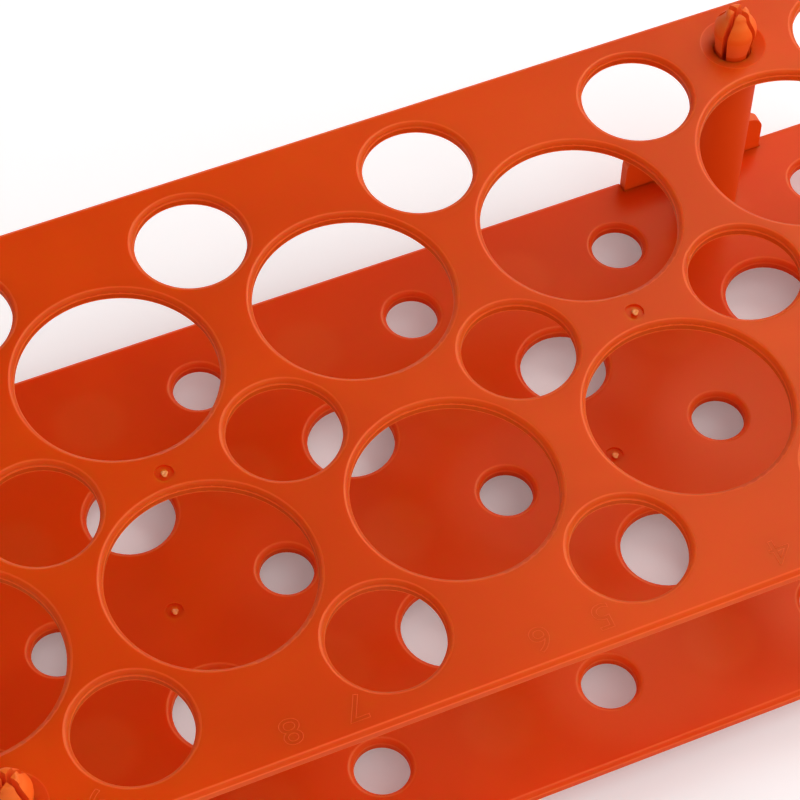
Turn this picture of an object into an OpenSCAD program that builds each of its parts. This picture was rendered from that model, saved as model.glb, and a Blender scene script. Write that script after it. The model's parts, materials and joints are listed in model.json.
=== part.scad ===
// Two-deck rack for conical centrifuge tubes: two pierced plates held apart by four snap-in legs.
// X runs along the rack, Y from its front edge to its back edge, Z up from the bench.
// The origin is on the bench, under the middle of the plates.

/* [Tube places] */
// Distance between neighbouring columns of tube places
column_pitch = 19; // [18.4:0.2:24]
// Distance between neighbouring rows of tube places
row_pitch = 19; // [18.4:0.2:24]
// Number of columns, an odd number
columns = 11; // [5:2:15]
// Bore for a 50 ml tube in the top plate
large_bore = 30.7; // [24:0.1:31]
// Bore for a 15 ml tube in the top plate
small_bore = 17.4; // [12:0.1:18]
// Hole under a 50 ml tube in the bottom plate, where its tip sits
large_seat = 14.2; // [8:0.1:20]
// Hole under a 15 ml tube in the bottom plate, where its tip sits
small_seat = 8.6; // [5:0.1:12]
// How far the field of tube places sits behind the middle of the plates
field_shift = 0.4; // [0:0.1:1]

/* [Plates] */
// Thickness of both plates
plate_thickness = 2.3; // [2.1:0.1:4]
// From the last column's centres to the end of a plate
end_margin = 13; // [12:0.1:20]
// From the outer rows' centres to the side of a plate, on average
side_margin = 12.9; // [12:0.1:20]
// Radius of the plates' corners, seen from above
corner_radius = 5; // [3:0.5:8]
// Rounding of the plates' upper outer edge
edge_round = 0.9; // [0.4:0.1:1]
// Rounding of the tube bores' upper rims
bore_round = 0.9; // [0.3:0.05:1]
// Rounding of the tip seats' upper rims
seat_round = 1; // [0.4:0.1:1.2]
// Small rounding of every lower edge
lower_round = 0.4; // [0.2:0.1:0.6]
// Diameter of the ejector marks under the bottom plate, one at every free crossing of the grid
ejector_mark = 11.6; // [6:0.2:12]
// Depth of those marks
ejector_depth = 0.4; // [0.1:0.1:0.6]

/* [Height] */
// Height from the top of the bottom plate to the top of the top plate
deck_spacing = 38.7; // [30:0.1:90]
// Clear height under the bottom plate
foot_height = 6; // [5:0.5:12]

/* [Legs] */
// From a leg's axis to the side of the plates
leg_inset = 8.5; // [8.3:0.1:11]
// How far a leg's axis lies outside its column's centre line
leg_shift = 0.3; // [0:0.1:1]
// Diameter of the round post
post_diameter = 9.4; // [7.8:0.1:11.4]
// Hole in a plate for a snap pin
pin_hole = 6.2; // [5.1:0.1:7.5]
// Clearance round the pin's neck, on the radius
pin_clearance = 0.2; // [0.1:0.05:0.3]
// How far the barb overhangs the hole's edge
barb_overhang = 0.3; // [0.2:0.05:0.5]
// Radius of the pin's blunt tip
tip_radius = 1.9; // [1.2:0.05:2.2]
// Height of the upper snap pin above the top plate
pin_reach = 7.8; // [6:0.1:9]
// Height of the lower snap pin below the bottom plate
lower_pin_reach = 4.6; // [4:0.1:4.8]
// Width of the cross slots that split a pin into four prongs
slot_width = 0.9; // [0.7:0.1:1.4]
// Angle between the rack's length and the first slot
slot_turn = 33; // [0:1:89]
// Diameter of the countersink round a pin, at the plate's face
countersink = 10.8; // [9:0.1:11.4]
// Slope of the countersink's cone below the plate's face
countersink_slope = 25; // [15:1:30]
// Rounding of the countersink's rim
countersink_round = 0.6; // [0.2:0.1:1]
// Width of the foot wall
foot_width = 25.8; // [16:0.2:30]
// Thickness of the foot wall
foot_wall = 1.8; // [1.5:0.1:2.5]
// Height of the foot wall above the bottom plate
wing_height = 7.8; // [5:0.2:15]
// Radius of the foot wall's upper corners
wing_corner = 2.8; // [1:0.1:4]
// How far the foot wall's outer face lies inside the plates' side
foot_recess = 0.3; // [0.2:0.1:1]
// Clearance round the foot wall in the bottom plate's notch
notch_clearance = 0.25; // [0.15:0.05:0.4]
// Thickness of the web between the post and the foot wall
web_thickness = 2; // [1.4:0.1:3]

/* [Injection gates] */
// Diameter of the shallow dimple round each gate mark
gate_dimple = 3; // [2.4:0.1:4]
// Depth of that dimple
gate_depth = 0.4; // [0.2:0.1:0.6]
// Diameter of the broken-off gate nub
gate_nub = 1; // [0.6:0.1:1.4]
// Height of the nub above the dimple's floor
gate_nub_height = 0.6; // [0.3:0.1:0.8]

/* [Hidden] */
$fn = 96;

body_colour = [0.86, 0.31, 0.12];
past = 1;            // how far a cutting tool runs past the face it cuts
rows = [-2, -1, 0, 1, 2];
middle = (columns - 1) / 2;
gate_column = middle % 2 == 1 ? 2 : 1;  // columns from the middle to a gate mark, never a tube place

plate_length = 2 * (middle * column_pitch + end_margin);
plate_width = 2 * (2 * row_pitch + side_margin);

deck_bottom = foot_height;
deck_top = deck_bottom + plate_thickness;
shelf_top = deck_top + deck_spacing;
shelf_bottom = shelf_top - plate_thickness;

leg_x = (middle - 1) * column_pitch + leg_shift;
leg_y = plate_width / 2 - leg_inset;
post_radius = post_diameter / 2;
pin_neck = pin_hole / 2 - pin_clearance;
barb_radius = pin_hole / 2 + barb_overhang;
upper_barb = [3.2, 4];     // the widest part of the upper barb, above the plate's face
lower_barb = [1.2, 2.2];   // the same for the lower barb, below the plate's face
nose_round = 0.7;
slot_root = 1;             // how far the slots run into the post below its shoulder
wall_inner = leg_inset - foot_recess - foot_wall;  // from the leg's axis to the foot wall
wall_outer = leg_inset - foot_recess;
rim_radius = countersink / 2;
rim_meets_cone = [
    rim_radius - countersink_round * sin(countersink_slope),
    -countersink_round * (1 - cos(countersink_slope))
];
countersink_depth = (rim_meets_cone[0] - pin_hole / 2) * tan(countersink_slope) - rim_meets_cone[1];

// Large tubes stand in the odd rows at every second column, small tubes in the gaps between them.
function is_large(row) = row % 2 != 0;
function row_columns(row) = [(is_large(row) ? 1 : 0) : 2 : columns - 1];
function place_x(i) = (i - middle) * column_pitch;
function place_y(row) = row * row_pitch + field_shift;

// Grid crossings with no tube place, no gate mark and no leg.
function column_offset(i) = abs(i - middle);
function is_free(row, i) =
    (is_large(row) ? i % 2 == 0 : i % 2 == 1)
    && !(row == 0 && column_offset(i) == gate_column)
    && !(abs(row) == 2 && column_offset(i) == middle - 1);
function free_columns(row) = [for (i = [0 : columns - 1]) if (is_free(row, i)) i];

// One point of a barb's outline, a smooth S from the widest part (t = 0) to the tip (t = 1).
function flame(t, low, high) = [
    tip_radius + (barb_radius - tip_radius) * (1 + cos(180 * t)) / 2,
    low + t * (high - low)
];

// Section across a plate: a flat slab whose upper and lower edges are rounded.
module slab_section(half_width) {
    translate([-half_width, lower_round])
        square([2 * half_width, plate_thickness - edge_round - lower_round]);
    translate([-half_width + edge_round, plate_thickness - edge_round])
        square([2 * (half_width - edge_round), edge_round]);
    translate([-half_width + lower_round, 0])
        square([2 * (half_width - lower_round), lower_round]);
    for (side = [-1, 1]) {
        translate([side * (half_width - edge_round), plate_thickness - edge_round])
            circle(edge_round);
        translate([side * (half_width - lower_round), lower_round])
            circle(lower_round);
    }
}

// A rounded rectangle with rounded edges, standing on Z = 0.
module blank_plate() {
    rotate([90, 0, 90])
        linear_extrude(plate_length - 2 * corner_radius, center = true)
            slab_section(plate_width / 2);
    rotate([90, 0, 0])
        linear_extrude(plate_width - 2 * corner_radius, center = true)
            slab_section(plate_length / 2);
    for (sx = [-1, 1], sy = [-1, 1])
        translate([
            sx * (plate_length / 2 - corner_radius),
            sy * (plate_width / 2 - corner_radius), 0
        ])
            rotate_extrude()
                intersection() {
                    slab_section(corner_radius);
                    square([corner_radius, plate_thickness]);
                }
}

// The tool that cuts one round hole with rounded rims through a plate standing on Z = 0.
module rimmed_hole(radius, upper_round) {
    rotate_extrude() {
        translate([0, -past])
            square([radius, plate_thickness + 2 * past]);
        difference() {
            translate([0, plate_thickness - upper_round])
                square([radius + upper_round, upper_round + past]);
            translate([radius + upper_round, plate_thickness - upper_round])
                circle(upper_round);
        }
        difference() {
            translate([0, -past])
                square([radius + lower_round, lower_round + past]);
            translate([radius + lower_round, lower_round])
                circle(lower_round);
        }
    }
}

// Every tube place of a plate.
module tube_field(large, small, upper_round) {
    for (row = rows, i = row_columns(row))
        translate([place_x(i), place_y(row), 0])
            rimmed_hole((is_large(row) ? large : small) / 2, upper_round);
}

// A pin hole with a countersink, whose wide end is at Z = 0 and faces up. The cone meets the
// plate's face in a rounded rim.
module pin_bore() {
    translate([0, 0, -plate_thickness - past])
        cylinder(d = pin_hole, h = plate_thickness + 2 * past);
    rotate_extrude()
        difference() {
            polygon([
                [0, past], [rim_radius, past], [rim_radius, 0], rim_meets_cone,
                [pin_hole / 2, -countersink_depth], [0, -countersink_depth]
            ]);
            translate([rim_radius, -countersink_round])
                circle(countersink_round);
        }
}

// The shallow round marks that the mould's ejectors leave under a plate standing on Z = 0.
module ejector_marks() {
    for (row = rows, i = free_columns(row))
        translate([place_x(i), place_y(row), -past])
            cylinder(d = ejector_mark, h = ejector_depth + past);
}

// Places its children at the four legs' axes, each turned so that its +Y points outwards.
module at_legs() {
    for (sx = [-1, 1], sy = [-1, 1])
        at_leg(sx, sy)
            children();
}

module at_leg(sx, sy) {
    translate([sx * leg_x, sy * leg_y, 0])
        rotate([0, 0, sy > 0 ? 0 : 180])
            children();
}

// The two gate marks of a plate: a shallow dimple with the broken nub standing in it.
module gate_dimples() {
    for (side = [-1, 1])
        translate([side * gate_column * column_pitch, 0, plate_thickness - gate_depth])
            cylinder(d = gate_dimple, h = gate_depth + past);
}

module gate_nubs() {
    for (side = [-1, 1])
        translate([side * gate_column * column_pitch, 0, plate_thickness - gate_depth - lower_round])
            cylinder(d = gate_nub, h = lower_round + gate_nub_height);
}

module top_plate() {
    color(body_colour)
        translate([0, 0, shelf_bottom]) {
            difference() {
                blank_plate();
                tube_field(large_bore, small_bore, bore_round);
                at_legs()
                    translate([0, 0, plate_thickness])
                        pin_bore();
                gate_dimples();
            }
            gate_nubs();
        }
}

module bottom_plate() {
    color(body_colour)
        translate([0, 0, deck_bottom]) {
            difference() {
                blank_plate();
                tube_field(large_seat, small_seat, seat_round);
                at_legs() {
                    mirror([0, 0, 1])
                        pin_bore();
                    foot_notch();
                }
                gate_dimples();
                ejector_marks();
            }
            gate_nubs();
        }
}

// The open notch in the bottom plate's side that a foot wall passes through.
module foot_notch() {
    translate([
        -foot_width / 2 - notch_clearance, wall_inner - notch_clearance, -past
    ])
        cube([
            foot_width + 2 * notch_clearance, foot_wall + foot_recess + notch_clearance + past,
            plate_thickness + 2 * past
        ]);
}

// A split snap pin that grows up from a shoulder at Z = 0 and passes a plate.
module snap_pin(reach, barb) {
    steps = 10;
    cap = plate_thickness + reach - nose_round;
    widest = plate_thickness + barb[1];
    difference() {
        rotate_extrude() {
            polygon(concat(
                [
                    [0, -slot_root], [pin_neck, -slot_root], [pin_neck, plate_thickness - 0.3],
                    [barb_radius, plate_thickness + barb[0]]
                ],
                [for (k = [0 : steps]) flame(k / steps, widest, cap)],
                [[0, cap]]
            ));
            translate([0, cap])
                square([tip_radius - nose_round, nose_round]);
            translate([tip_radius - nose_round, cap])
                intersection() {
                    circle(nose_round);
                    square(nose_round);
                }
        }
        cross_slots(barb_radius + past, cap + nose_round + past);
    }
}

// The two crossing slots, from below the shoulder at Z = 0 up to the given height.
module cross_slots(half_length, height) {
    for (turn = [0, 90])
        rotate([0, 0, slot_turn + turn])
            translate([-half_length, -slot_width / 2, -slot_root])
                cube([2 * half_length, slot_width, slot_root + height]);
}

// The foot wall: it rises beside the post with round upper corners and stands on the bench.
module foot_panel() {
    height = deck_top + wing_height;
    translate([0, wall_outer, 0])
        rotate([90, 0, 0])
            linear_extrude(foot_wall) {
                translate([-foot_width / 2, 0])
                    square([foot_width, height - wing_corner]);
                translate([-foot_width / 2 + wing_corner, 0])
                    square([foot_width - 2 * wing_corner, height]);
                for (side = [-1, 1])
                    translate([side * (foot_width / 2 - wing_corner), height - wing_corner])
                        circle(wing_corner);
            }
}

// One leg on its own axis, with its foot wall on the +Y side.
module leg() {
    difference() {
        translate([0, 0, deck_top])
            cylinder(r = post_radius, h = shelf_bottom - deck_top);
        translate([0, 0, shelf_bottom])
            cross_slots(pin_neck, past);
        translate([0, 0, deck_top])
            mirror([0, 0, 1])
                cross_slots(pin_neck, past);
    }
    translate([0, 0, shelf_bottom])
        snap_pin(pin_reach, upper_barb);
    translate([0, 0, deck_top])
        mirror([0, 0, 1])
            snap_pin(lower_pin_reach, lower_barb);
    translate([-web_thickness / 2, post_radius / 2, deck_top])
        cube([web_thickness, wall_inner - post_radius / 2 + foot_wall / 2, wing_height - wing_corner]);
    foot_panel();
}

module leg_front_left() {
    color(body_colour)
        at_leg(-1, -1)
            leg();
}

module leg_front_right() {
    color(body_colour)
        at_leg(1, -1)
            leg();
}

module leg_back_left() {
    color(body_colour)
        at_leg(-1, 1)
            leg();
}

module leg_back_right() {
    color(body_colour)
        at_leg(1, 1)
            leg();
}

top_plate();
bottom_plate();
leg_front_left();
leg_front_right();
leg_back_left();
leg_back_right();
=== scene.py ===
import bpy
import json
from math import cos, pi, sin
from mathutils import Matrix, Vector


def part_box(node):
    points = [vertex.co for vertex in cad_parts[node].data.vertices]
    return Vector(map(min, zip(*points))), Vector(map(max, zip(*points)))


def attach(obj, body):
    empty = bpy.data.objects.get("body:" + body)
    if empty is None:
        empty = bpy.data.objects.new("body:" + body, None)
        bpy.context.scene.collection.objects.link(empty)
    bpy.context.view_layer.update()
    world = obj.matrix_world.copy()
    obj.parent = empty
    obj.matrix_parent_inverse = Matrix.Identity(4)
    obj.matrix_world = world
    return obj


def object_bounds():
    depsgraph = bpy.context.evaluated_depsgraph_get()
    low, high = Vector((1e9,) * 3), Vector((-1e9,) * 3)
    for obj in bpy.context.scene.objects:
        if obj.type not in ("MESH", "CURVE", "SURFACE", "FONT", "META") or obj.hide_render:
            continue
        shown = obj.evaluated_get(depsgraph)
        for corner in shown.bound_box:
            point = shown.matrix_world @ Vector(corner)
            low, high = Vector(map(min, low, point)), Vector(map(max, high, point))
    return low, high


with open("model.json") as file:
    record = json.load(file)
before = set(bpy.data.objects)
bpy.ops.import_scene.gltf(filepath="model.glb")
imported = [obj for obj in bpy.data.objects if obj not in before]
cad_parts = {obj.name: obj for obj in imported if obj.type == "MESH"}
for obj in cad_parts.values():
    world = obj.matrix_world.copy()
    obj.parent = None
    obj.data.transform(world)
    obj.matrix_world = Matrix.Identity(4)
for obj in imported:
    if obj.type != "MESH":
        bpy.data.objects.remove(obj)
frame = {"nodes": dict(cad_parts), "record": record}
nodes = frame["nodes"]
cad_low, cad_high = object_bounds()

# ---------------------------------------------------------------------------------------------
# Top plate. One flat injection moulding of orange polypropylene, pierced by wide and narrow
# tube bores with rounded rims and by four countersunk holes that its legs snap into. The resin
# is satin and a little cloudy, and light travels some millimetres inside it.

plate_low, plate_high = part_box("top_plate")
plate_orange = (0.78, 0.078, 0.0014)
plate_deep = (0.69, 0.062, 0.001)
plate_depth = 0.006
# Colour of the painted highlight lines along rounded edges.
edge_highlight_orange = (1.0, 0.17, 0.04)
dust_brown = (0.16, 0.02, 0.008)
gloss_tint = (1.0, 0.7, 0.34, 1)
light_reach = (1.0, 0.2, 0.04)
refraction = 1.49
gloss = 0.4
edge_highlight_share = 0.48
flat_roughness = 0.3
tilted_roughness = 0.36
scratched_roughness = 0.12
scratch_cut = -0.4
ripple_strength = 0.12
ripple_depth = 0.0002


def new_group(name, inputs, outputs):
    """A shader node group with named sockets; an input is (name, kind, default)."""
    group = bpy.data.node_groups.new(name, "ShaderNodeTree")
    for label, kind, value in inputs:
        socket = group.interface.new_socket(label, in_out="INPUT", socket_type=kind)
        if value is not None:
            socket.default_value = value
    for label, kind in outputs:
        group.interface.new_socket(label, in_out="OUTPUT", socket_type=kind)
    return group, group.nodes.new("NodeGroupInput"), group.nodes.new("NodeGroupOutput")


def place(tree, kind, values=None, links=None, **settings):
    """Adds a node, sets its properties and values, and links its inputs."""
    node = tree.nodes.new(kind)
    for key, value in settings.items():
        setattr(node, key, value)
    for key, value in (values or {}).items():
        node.inputs[key].default_value = value
    for key, source in (links or {}).items():
        tree.links.new(source, node.inputs[key])
    return node


def ramp(tree, source, start, end, low=0.0, high=1.0):
    """A smooth step of a value from start to end."""
    limits = {"From Min": start, "From Max": end, "To Min": low, "To Max": high}
    node = place(tree, "ShaderNodeMapRange", limits, {"Value": source},
                 interpolation_type="SMOOTHSTEP")
    return node.outputs["Result"]


def reckon(tree, operation, first, second=None):
    """One Math node on a socket; the second operand, if any, is a number or a socket."""
    node = place(tree, "ShaderNodeMath", links={0: first}, operation=operation)
    if isinstance(second, float):
        node.inputs[1].default_value = second
    elif second is not None:
        tree.links.new(second, node.inputs[1])
    return node.outputs[0]


def blend(tree, mask, under, over):
    """Mixes two colours, each a tuple or a socket, by a mask."""
    node = place(tree, "ShaderNodeMix", links={0: mask}, data_type="RGBA")
    for socket, colour in ((6, under), (7, over)):
        if isinstance(colour, tuple):
            node.inputs[socket].default_value = (*colour, 1)
        else:
            tree.links.new(colour, node.inputs[socket])
    return node.outputs[2]


# Cloudy bands that the melt leaves as it spreads through the mould, and their faint ripple.
cloud_start, cloud_full = 0.32, 0.66
ripples_to_a_cloud = 6.0
resin_flow, given, out = new_group(
    "resin_flow",
    [("Vector", "NodeSocketVector", None),
     ("Scale", "NodeSocketFloat", 20.0),
     ("Stretch", "NodeSocketVector", (1, 1, 1))],
    [("Cloud", "NodeSocketFloat"), ("Ripple", "NodeSocketFloat")])
drawn = place(resin_flow, "ShaderNodeVectorMath",
              links={0: given.outputs["Vector"], 1: given.outputs["Stretch"]},
              operation="MULTIPLY").outputs[0]
cloud = place(resin_flow, "ShaderNodeTexNoise",
              {"Detail": 3.0, "Roughness": 0.45, "Distortion": 0.8},
              {"Vector": drawn, "Scale": given.outputs["Scale"]})
bands = ramp(resin_flow, cloud.outputs["Fac"], cloud_start, cloud_full)
resin_flow.links.new(bands, out.inputs["Cloud"])
finer = reckon(resin_flow, "MULTIPLY", given.outputs["Scale"], ripples_to_a_cloud)
ripple = place(resin_flow, "ShaderNodeTexNoise", {"Detail": 2.0, "Roughness": 0.4},
               {"Vector": drawn, "Scale": finer})
resin_flow.links.new(ripple.outputs["Fac"], out.inputs["Ripple"])

# Hair-fine scratches from racks being slid and stacked, in two crossing directions: each has
# its turn in radians and how many times longer than wide its streaks are.
scratch_ways = ((0.5, 16.0), (-1.1, 22.0))
scratch_start, scratch_full = 0.67, 0.75
handling_marks, given, out = new_group(
    "handling_marks",
    [("Vector", "NodeSocketVector", None),
     ("Scale", "NodeSocketFloat", 60.0),
     ("Amount", "NodeSocketFloat", 0.5)],
    [("Mask", "NodeSocketFloat")])
streaks = []
for turn, stretch in scratch_ways:
    turned = place(handling_marks, "ShaderNodeMapping",
                   {"Rotation": (0.0, 0.0, turn), "Scale": (1.0, stretch, 1.0)},
                   {"Vector": given.outputs["Vector"]})
    streak = place(handling_marks, "ShaderNodeTexNoise", {"Detail": 1.0, "Roughness": 0.4},
                   {"Vector": turned.outputs[0], "Scale": given.outputs["Scale"]})
    streaks.append(ramp(handling_marks, streak.outputs["Fac"], scratch_start, scratch_full))
crossed = reckon(handling_marks, "MAXIMUM", streaks[0], streaks[1])
amount = reckon(handling_marks, "MULTIPLY", crossed, given.outputs["Amount"])
handling_marks.links.new(amount, out.inputs["Mask"])

# Sparse dark specks of dust and burnt resin, a tenth of a millimetre or two across.
dust_specks, given, out = new_group(
    "dust_specks",
    [("Vector", "NodeSocketVector", None),
     ("Scale", "NodeSocketFloat", 150.0),
     ("Share", "NodeSocketFloat", 0.02),
     ("Size", "NodeSocketFloat", 0.03)],
    [("Mask", "NodeSocketFloat")])
cells = place(dust_specks, "ShaderNodeTexVoronoi", {"Randomness": 1.0},
              {"Vector": given.outputs["Vector"], "Scale": given.outputs["Scale"]})
chance = place(dust_specks, "ShaderNodeSeparateColor", links={0: cells.outputs["Color"]})
chosen = reckon(dust_specks, "LESS_THAN", chance.outputs[0], given.outputs["Share"])
near = reckon(dust_specks, "LESS_THAN", cells.outputs["Distance"], given.outputs["Size"])
dust_specks.links.new(reckon(dust_specks, "MULTIPLY", chosen, near), out.inputs["Mask"])

# Rounded edges: the polish turns duller where the surface tips over, and painted highlight lines
# stand for light gathering in the resin where the flat face ends, where the wall begins and below
# it. A line is given by how far the surface faces up where it starts, is bright, fades and ends.
tilt_start, tilt_full = 0.98, 0.7
face_end_line = (0.998, 0.985, 0.95, 0.88)
wall_line = (0.4, 0.3, 0.12, 0.03)
underside_line = (-0.05, -0.15, -0.6, -0.8)
edge_light, given, out = new_group(
    "edge_light",
    [("Upright", "NodeSocketFloat", 1.0)],
    [("Tilt", "NodeSocketFloat"), ("Line", "NodeSocketFloat")])
upright = given.outputs["Upright"]
edge_light.links.new(ramp(edge_light, upright, tilt_start, tilt_full), out.inputs["Tilt"])
lines = []
for starts, bright, fades, ends in (face_end_line, wall_line, underside_line):
    rise = ramp(edge_light, upright, starts, bright)
    fall = ramp(edge_light, upright, ends, fades)
    lines.append(reckon(edge_light, "MULTIPLY", rise, fall))
lower = reckon(edge_light, "ADD", lines[1], lines[2])
edge_light.links.new(reckon(edge_light, "ADD", lines[0], lower), out.inputs["Line"])


def orange_resin(name, colour, deep, depth, flow=22.0, stretch=(1.0, 1.0, 1.0), marks=0.5,
                 dust=0.02):
    """Satin orange polypropylene with flow clouding, fine scratches, dust and painted edge
    highlights.
    """
    material = bpy.data.materials.new(name)
    material.use_nodes = True
    tree = material.node_tree
    shader = tree.nodes["Principled BSDF"]
    shader.inputs["IOR"].default_value = refraction
    shader.inputs["Specular IOR Level"].default_value = gloss
    shader.inputs["Specular Tint"].default_value = gloss_tint
    shader.inputs["Subsurface Weight"].default_value = 1.0 if depth else 0.0
    shader.inputs["Subsurface Radius"].default_value = light_reach
    shader.inputs["Subsurface Scale"].default_value = depth
    at = place(tree, "ShaderNodeTexCoord").outputs["Object"]
    normal = place(tree, "ShaderNodeNewGeometry").outputs["Normal"]
    facing = place(tree, "ShaderNodeSeparateXYZ", links={0: normal})
    melt = place(tree, "ShaderNodeGroup", node_tree=resin_flow)
    melt.inputs["Scale"].default_value = flow
    melt.inputs["Stretch"].default_value = stretch
    tree.links.new(at, melt.inputs["Vector"])
    scratch = place(tree, "ShaderNodeGroup", node_tree=handling_marks)
    scratch.inputs["Amount"].default_value = marks
    tree.links.new(at, scratch.inputs["Vector"])
    speck = place(tree, "ShaderNodeGroup", node_tree=dust_specks)
    speck.inputs["Share"].default_value = dust
    tree.links.new(at, speck.inputs["Vector"])
    rim = place(tree, "ShaderNodeGroup", node_tree=edge_light)
    tree.links.new(facing.outputs[2], rim.inputs["Upright"])

    body = blend(tree, melt.outputs["Cloud"], deep, colour)
    # Thin painted highlight lines where the rounded edges tip over.
    line = reckon(tree, "MULTIPLY", rim.outputs["Line"], edge_highlight_share)
    lit = blend(tree, line, body, edge_highlight_orange)
    dirty = blend(tree, speck.outputs["Mask"], lit, dust_brown)
    tree.links.new(dirty, shader.inputs["Base Color"])

    tilted = reckon(tree, "MULTIPLY", rim.outputs["Tilt"], tilted_roughness)
    scratched = reckon(tree, "MULTIPLY", scratch.outputs["Mask"], scratched_roughness)
    duller = reckon(tree, "ADD", tilted, scratched)
    tree.links.new(reckon(tree, "ADD", duller, flat_roughness), shader.inputs["Roughness"])

    cut = reckon(tree, "MULTIPLY", scratch.outputs["Mask"], scratch_cut)
    bump = place(tree, "ShaderNodeBump", {"Strength": ripple_strength, "Distance": ripple_depth},
                 {"Height": reckon(tree, "ADD", cut, melt.outputs["Ripple"])})
    tree.links.new(bump.outputs["Normal"], shader.inputs["Normal"])
    return material


def lay_over(material, colour, mask_from):
    """Lays one more colour over a resin; mask_from(tree, x, y, z) gives the mask."""
    tree = material.node_tree
    base = tree.nodes["Principled BSDF"].inputs["Base Color"]
    at = place(tree, "ShaderNodeTexCoord").outputs["Object"]
    split = place(tree, "ShaderNodeSeparateXYZ", links={0: at})
    mask = mask_from(tree, *split.outputs)
    tree.links.new(blend(tree, mask, base.links[0].from_socket, colour), base)


def dress(node, material):
    """Puts a finish on a CAD node's material slots."""
    mesh = nodes[node].data
    mesh.materials.clear()
    mesh.materials.append(material)


plate_plastic = orange_resin("plate_plastic", plate_orange, plate_deep, plate_depth)
dress("top_plate", plate_plastic)

# ---------------------------------------------------------------------------------------------
# Bore rings. Where the core pin of each tube bore met the rounded rim of the mould it left a fine
# witness line round the bore, and the lower lip of the bore is turned to a small smooth radius.
# Both rings are coloured brighter than the plate: painted highlight lines at the foot of the rim
# and along the lower lip.

# The rings' colours are brighter than the plate's: painted highlight lines.
ring_highlight_orange = (1.0, 0.14, 0.015)
ring_highlight_deep = (0.95, 0.125, 0.01)
rim_radius, lip_radius = 0.0009, 0.0004
skin = 0.00003
witness_root = (0.00015, 0.0)
witness_foot = 0.0001
witness_bends = (0.0, 0.1, 0.2)
lip_head = 0.00012
lip_bends = (0.0, 0.3, 0.6, 0.9, 1.2, 1.5)
fewest_steps, steps_per_metre = 54, 3000

mounts = frame["record"]["mounts"]
places = {mount["name"]: mount["pos_m"] for mount in mounts}
tube_bores = [mount for mount in mounts if "_tube_" in mount["name"]]
# A mount stands at half the height of its bore's straight wall, whose length is in millimetres.
wall_top = max(bore["pos_m"][2] + bore["dims"]["length_mm"] / 2000 for bore in tube_bores)
plate_face = wall_top + rim_radius
ring_highlight_plastic = orange_resin("ring_highlight_plastic", ring_highlight_orange, ring_highlight_deep, 0.0, marks=0.0, dust=0.0)


def witness_line(radius):
    """The outline of the line at the foot of the rim, as (radius, height) points."""
    outline = [(radius + witness_root[0], wall_top + witness_root[1]),
               (radius - skin / 3, wall_top - witness_foot)]
    centre, reach = radius + rim_radius, rim_radius + skin
    for bend in witness_bends:
        outline.append((centre - reach * cos(bend), wall_top + reach * sin(bend)))
    return outline


def lower_lip(radius):
    """The outline of the turned lower lip, as (radius, height) points."""
    centre, reach = radius + lip_radius, lip_radius + skin
    level = plate_low[2] + lip_radius
    outline = [(centre, level), (radius + skin, level + lip_head)]
    for bend in lip_bends:
        outline.append((centre - reach * cos(bend), level - reach * sin(bend)))
    return outline


points, faces = [], []
for bore in tube_bores:
    x, y = bore["pos_m"][:2]
    radius = bore["dims"]["r_mm"] / 1000
    steps = int(fewest_steps + radius * steps_per_metre)
    for outline in (witness_line(radius), lower_lip(radius)):
        first, count = len(points), len(outline)
        for step in range(steps):
            turn = 2 * pi * step / steps
            points += [(x + r * cos(turn), y + r * sin(turn), h) for r, h in outline]
        for step in range(steps):
            here, there = first + step * count, first + (step + 1) % steps * count
            faces += [(here + k, there + k, there + (k + 1) % count, here + (k + 1) % count)
                      for k in range(count)]
ring_mesh = bpy.data.meshes.new("bore_rings")
ring_mesh.from_pydata(points, [], faces)
ring_mesh.shade_smooth()
ring_mesh.materials.append(ring_highlight_plastic)
bore_rings = bpy.data.objects.new("bore_rings", ring_mesh)
bpy.context.scene.collection.objects.link(bore_rings)
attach(bore_rings, "root")

# ---------------------------------------------------------------------------------------------
# Column numbers. Plain numerals in fine raised outline on the top plate's front margin, moulded
# with it. They read from the back, and an odd one sits beside its bore, not under it.

numeral_orange = (0.86, 0.095, 0.006)
numeral_deep = (0.82, 0.085, 0.004)
numeral_height = 0.0043
numeral_line = plate_low[1] + 0.0043
numeral_width = 1.12
outline_weight = 0.011
outline_rise = 0.00012
outline_sunk = 0.00007
column_pitch = (places["small_tube_a3"][0] - places["small_tube_a1"][0]) / 2
middle_column, last_column = 6, 11
leg_columns = (2, 10)
row_start, row_step = 0.05, 0.996
odd_aside, even_aside, leg_aside = -0.5, -0.01, -0.48
numeral_plastic = orange_resin("numeral_plastic", numeral_orange, numeral_deep, 0.0, marks=0.2,
                               dust=0.0)


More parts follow.
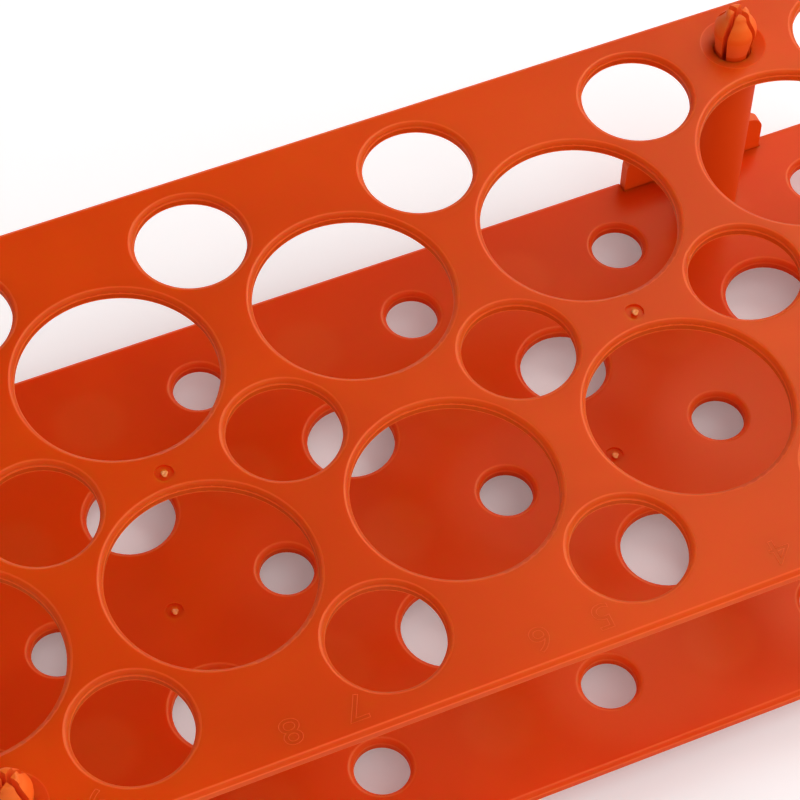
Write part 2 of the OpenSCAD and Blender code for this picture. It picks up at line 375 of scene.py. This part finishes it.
def numeral(label, x):
    """One number as a fine raised outline, its head towards the front edge."""
    letters = bpy.data.curves.new("number_" + label, "FONT")
    letters.body = label
    letters.align_x = "CENTER"
    letters.fill_mode = "NONE"
    letters.bevel_depth = outline_weight
    letters.bevel_resolution = 1
    letters.resolution_u = 6
    draft = bpy.data.objects.new("draft", letters)
    bpy.context.scene.collection.objects.link(draft)
    bpy.context.view_layer.update()
    shown = draft.evaluated_get(bpy.context.evaluated_depsgraph_get())
    mesh = bpy.data.meshes.new_from_object(shown)
    bpy.data.objects.remove(draft)
    foot = min(v.co.y for v in mesh.vertices)
    grow = numeral_height / (max(v.co.y for v in mesh.vertices) - foot)
    deep = min(v.co.z for v in mesh.vertices)
    lift = outline_rise / (max(v.co.z for v in mesh.vertices) - deep)
    for v in mesh.vertices:
        v.co = Vector((x - v.co.x * grow * numeral_width,
                       numeral_line - (v.co.y - foot) * grow + numeral_height / 2,
                       plate_face - outline_sunk + (v.co.z - deep) * lift))
    mesh.name = "number_" + label
    mesh.materials.clear()
    mesh.materials.append(numeral_plastic)
    piece = bpy.data.objects.new("number_" + label, mesh)
    bpy.context.scene.collection.objects.link(piece)
    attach(piece, "root")


for column in range(1, last_column + 1):
    aside = odd_aside if column % 2 else even_aside
    if column in leg_columns:
        aside = leg_aside
    from_middle = row_start + row_step * (middle_column - column) + aside
    numeral(str(column), from_middle * column_pitch)

# ---------------------------------------------------------------------------------------------
# Gate scars. Each plate was filled through two gates; the snapped-off sprue leaves a small torn
# stub in each dimple, pale orange and shiny where it tore.

scar_orange = (0.95, 0.34, 0.08)
scar_deep = (0.9, 0.2, 0.03)
stub_sides = 16
stub_rings = ((0.56, -0.25), (0.54, 0.02), (0.46, 0.15), (0.32, 0.24), (0.15, 0.21))
stub_forward = 0.25
stub_tip = 0.00013
wave_of_three, wave_of_five, wave_on_top = 0.14, 0.08, 0.07
gate_columns = 2
scar_plastic = orange_resin("scar_plastic", scar_orange, scar_deep, 0.0, flow=900.0, marks=0.0,
                            dust=0.0)
scar_plastic.node_tree.nodes["Principled BSDF"].inputs["Coat Weight"].default_value = 0.8
scar_plastic.node_tree.nodes["Principled BSDF"].inputs["Coat Roughness"].default_value = 0.08


def gate_scar(name, x, z):
    """A ragged stub: rings of uneven radius and height, in millimetres, closed by a tip."""
    points, faces = [], []
    for ring, (radius, height) in enumerate(stub_rings):
        for step in range(stub_sides):
            turn = 2 * pi * step / stub_sides
            reach = radius * (1 + wave_of_three * sin(3 * turn + ring)
                              + wave_of_five * sin(5 * turn + 2 * ring))
            level = height + wave_on_top * sin(2 * turn + ring)
            points.append((x + reach * cos(turn) / 1000,
                           (reach * sin(turn) - stub_forward) / 1000,
                           z + level / 1000))
    points.append((x, -stub_forward / 1000, z + stub_tip))
    for ring in range(len(stub_rings) - 1):
        first = ring * stub_sides
        for step in range(stub_sides):
            beyond = (step + 1) % stub_sides
            faces.append((first + step, first + beyond,
                          first + stub_sides + beyond, first + stub_sides + step))
    tip = len(points) - 1
    last = tip - stub_sides
    faces += [(last + step, last + (step + 1) % stub_sides, tip) for step in range(stub_sides)]
    faces.append(tuple(range(stub_sides - 1, -1, -1)))
    mesh = bpy.data.meshes.new(name)
    mesh.from_pydata(points, [], faces)
    mesh.shade_smooth()
    mesh.materials.append(scar_plastic)
    piece = bpy.data.objects.new(name, mesh)
    bpy.context.scene.collection.objects.link(piece)
    piece.modifiers.new("soften", "SUBSURF").levels = 1
    piece.modifiers["soften"].render_levels = 1
    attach(piece, "root")


for side, word in ((-1, "left"), (1, "right")):
    gate_scar("scar_top_" + word, side * gate_columns * column_pitch, plate_high[2])

# ---------------------------------------------------------------------------------------------
# Bottom plate. The same moulding with small seats that the tubes' tips stand in. Slightly paler
# discs between the seats are painted light, standing for light through the shallow ejector marks
# of its underside.

deck_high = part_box("bottom_plate")[1]
# The deck's colours are lighter than the top plate's, though it is the same resin: painted light
# that makes up for the shade of the top plate above it.
deck_painted_light_orange = (0.86, 0.064, 0.0015)
deck_painted_light_deep = (0.77, 0.051, 0.001)
# Paler colour of the painted discs of light.
disc_glow_orange = (0.93, 0.1, 0.012)
disc_glow_share = 0.35
disc_edge, disc_full = 0.38, 0.22
gate_near, gate_clear = 0.007, 0.008
deck_plastic = orange_resin("deck_plastic", deck_painted_light_orange, deck_painted_light_deep, plate_depth, flow=26.0,
                            dust=0.04)


def ejector_discs(tree, x, y, z):
    """Painted paler discs of light on every second crossing of the tube grid, none at the gates.
    """
    middle_row = places["small_tube_c1"][1]
    across = reckon(tree, "MULTIPLY", x, 0.5 / column_pitch)
    along = reckon(tree, "SUBTRACT", y, middle_row)
    along = reckon(tree, "MULTIPLY", along, 0.5 / column_pitch)
    squares = []
    for operation in ("ADD", "SUBTRACT"):
        slant = reckon(tree, "ADD", reckon(tree, operation, across, along), 0.5)
        off = reckon(tree, "SUBTRACT", reckon(tree, "FRACT", slant), 0.5)
        squares.append(reckon(tree, "MULTIPLY", off, off))
    doubled = reckon(tree, "MULTIPLY", reckon(tree, "ADD", *squares), 2.0)
    disc = ramp(tree, reckon(tree, "SQRT", doubled), disc_edge, disc_full)
    gate_x = reckon(tree, "SUBTRACT", reckon(tree, "ABSOLUTE", x), gate_columns * column_pitch)
    from_gate = reckon(tree, "MAXIMUM", reckon(tree, "ABSOLUTE", gate_x),
                       reckon(tree, "ABSOLUTE", y))
    off_gate = ramp(tree, from_gate, gate_near, gate_clear)
    return reckon(tree, "MULTIPLY", reckon(tree, "MULTIPLY", disc, off_gate), disc_glow_share)


lay_over(deck_plastic, disc_glow_orange, ejector_discs)
dress("bottom_plate", deck_plastic)
for side, word in ((-1, "left"), (1, "right")):
    gate_scar("scar_bottom_" + word, side * gate_columns * column_pitch, deck_high[2])

# ---------------------------------------------------------------------------------------------
# Legs. Four separate mouldings: a hollow round post with a broad foot wall, and split snap pins
# that click through the plates. The pins are paler than the post from the top plate upwards, most
# at their tips.

leg_orange = (0.9, 0.09, 0.002)
leg_deep = (0.82, 0.072, 0.0015)
pin_orange = (1.0, 0.12, 0.008)
# Colour of the painted glow in the pin slots.
slot_glow_orange = (1.0, 0.155, 0.02)
pin_spot = (plate_high[0] - 0.0317, plate_high[1] - 0.0085)
pin_pales = (plate_high[2] - 0.0005, plate_high[2] + 0.005)
slot_outer, slot_inner = 0.0029, 0.0022
slot_pales = (plate_high[2], plate_high[2] + 0.002)
leg_plastic = orange_resin("leg_plastic", leg_orange, leg_deep, 0.0, flow=40.0,
                           stretch=(1.0, 1.0, 0.15), marks=0.2)


def pin_heads(tree, x, y, z):
    """The upper pins, paler towards their tips."""
    return ramp(tree, z, *pin_pales)


def pin_heart(tree, x, y, z):
    """A painted glow on the inner faces of the slots, standing for light through the prongs."""
    squares = []
    for across, centre in ((x, pin_spot[0]), (y, pin_spot[1])):
        off = reckon(tree, "SUBTRACT", reckon(tree, "ABSOLUTE", across), centre)
        squares.append(reckon(tree, "MULTIPLY", off, off))
    radius = reckon(tree, "SQRT", reckon(tree, "ADD", *squares))
    inside = ramp(tree, radius, slot_outer, slot_inner)
    return reckon(tree, "MULTIPLY", inside, ramp(tree, z, *slot_pales))


lay_over(leg_plastic, pin_orange, pin_heads)
lay_over(leg_plastic, slot_glow_orange, pin_heart)
for leg in ("leg_front_left", "leg_front_right", "leg_back_left", "leg_back_right"):
    dress(leg, leg_plastic)

# ---------------------------------------------------------------------------------------------
# Studio. A plain white paper floor that keeps the rack's own shadow and the warm light that the
# resin throws on it. The camera and mirrors see it a little whiter than the lamps make it, most
# of all far from the rack, where it fades into a white backdrop.

floor_reach = 30
paper_white = (0.97, 0.97, 0.97, 1)
lift_under, lift_beside, lift_far = 0.16, 0.32, 0.6
beside_start, beside_full = cad_high[0] - 0.01, cad_high[0] + 0.05
fade_start, fade_full = 0.2, 1.1

floor_mesh = bpy.data.meshes.new("floor")
floor_mesh.from_pydata([(-floor_reach, -floor_reach, 0), (floor_reach, -floor_reach, 0),
                        (floor_reach, floor_reach, 0), (-floor_reach, floor_reach, 0)],
                       [], [(0, 1, 2, 3)])
floor = bpy.data.objects.new("floor", floor_mesh)
bpy.context.scene.collection.objects.link(floor)
paper = bpy.data.materials.new("floor_paper")
paper.use_nodes = True
tree = paper.node_tree
matt = tree.nodes["Principled BSDF"]
matt.inputs["Base Color"].default_value = paper_white
matt.inputs["Roughness"].default_value = 0.9
matt.inputs["Specular IOR Level"].default_value = 0.1
spot = place(tree, "ShaderNodeTexCoord").outputs["Object"]
away = place(tree, "ShaderNodeVectorMath", links={0: spot}, operation="LENGTH").outputs["Value"]
rounded = place(tree, "ShaderNodeVectorMath", {1: (1.0, cad_high[0] / cad_high[1], 1.0)},
                {0: spot}, operation="MULTIPLY").outputs[0]
beside = place(tree, "ShaderNodeVectorMath", links={0: rounded},
               operation="LENGTH").outputs["Value"]
path = place(tree, "ShaderNodeLightPath")
seen = reckon(tree, "MAXIMUM", path.outputs["Is Camera Ray"], path.outputs["Is Glossy Ray"])
seen = reckon(tree, "MAXIMUM", seen, path.outputs["Is Transmission Ray"])
close = ramp(tree, beside, beside_start, beside_full, lift_under, lift_beside)
far = ramp(tree, away, fade_start, fade_full, 0.0, lift_far)
whiter = reckon(tree, "MULTIPLY", seen, reckon(tree, "ADD", close, far))
white = place(tree, "ShaderNodeEmission", links={"Strength": whiter})
added = place(tree, "ShaderNodeAddShader", links={0: matt.outputs[0], 1: white.outputs[0]})
tree.links.new(added.outputs[0], tree.nodes["Material Output"].inputs[0])
floor_mesh.materials.append(paper)

# A white band along the horizon and a dim ceiling, so that the flat plates mirror little.
band_top, ceiling_start = 0.2, 0.48
band_light, ceiling_light = 1.0, 0.06
world = bpy.data.worlds.new("studio")
bpy.context.scene.world = world
world.use_nodes = True
tree = world.node_tree
sky = place(tree, "ShaderNodeTexCoord").outputs["Generated"]
height = place(tree, "ShaderNodeSeparateXYZ", links={0: sky}).outputs[2]
brightness = ramp(tree, height, band_top, ceiling_start, band_light, ceiling_light)
tree.links.new(brightness, tree.nodes["Background"].inputs["Strength"])
tree.nodes["Background"].inputs["Color"].default_value = (1, 1, 1, 1)


def softbox(name, spot, width, height, watts):
    """A rectangular soft light that looks at the rack."""
    lamp = bpy.data.lights.new(name, "AREA")
    lamp.shape = "RECTANGLE"
    lamp.size, lamp.size_y, lamp.energy = width, height, watts
    stand = bpy.data.objects.new(name, lamp)
    stand.location = spot
    stand.rotation_euler = (-Vector(spot)).to_track_quat("-Z", "Y").to_euler()
    bpy.context.scene.collection.objects.link(stand)


softbox("front_box", (0.45, -0.75, 1.25), 1.9, 1.6, 14)
softbox("right_box", (0.88, 0.40, 1.0), 1.05, 0.95, 8.0)

# Camera: a close view down over the front left of the rack.
camera_spot = (-0.111851, -0.238248, 0.420412)
ahead = Vector((0.242746, 0.519728, -0.81912)).normalized()
above = Vector((0.315250, 0.756283, 0.573283))
right = ahead.cross(above).normalized()
turned = Matrix((right, right.cross(ahead), -ahead)).transposed().to_4x4()
lens = bpy.data.cameras.new("camera")
lens.lens = 138.708
lens.sensor_width = 36
camera = bpy.data.objects.new("camera", lens)
camera.matrix_world = Matrix.Translation(camera_spot) @ turned
bpy.context.scene.collection.objects.link(camera)
bpy.context.scene.camera = camera

bpy.context.scene.view_settings.view_transform = "Standard"
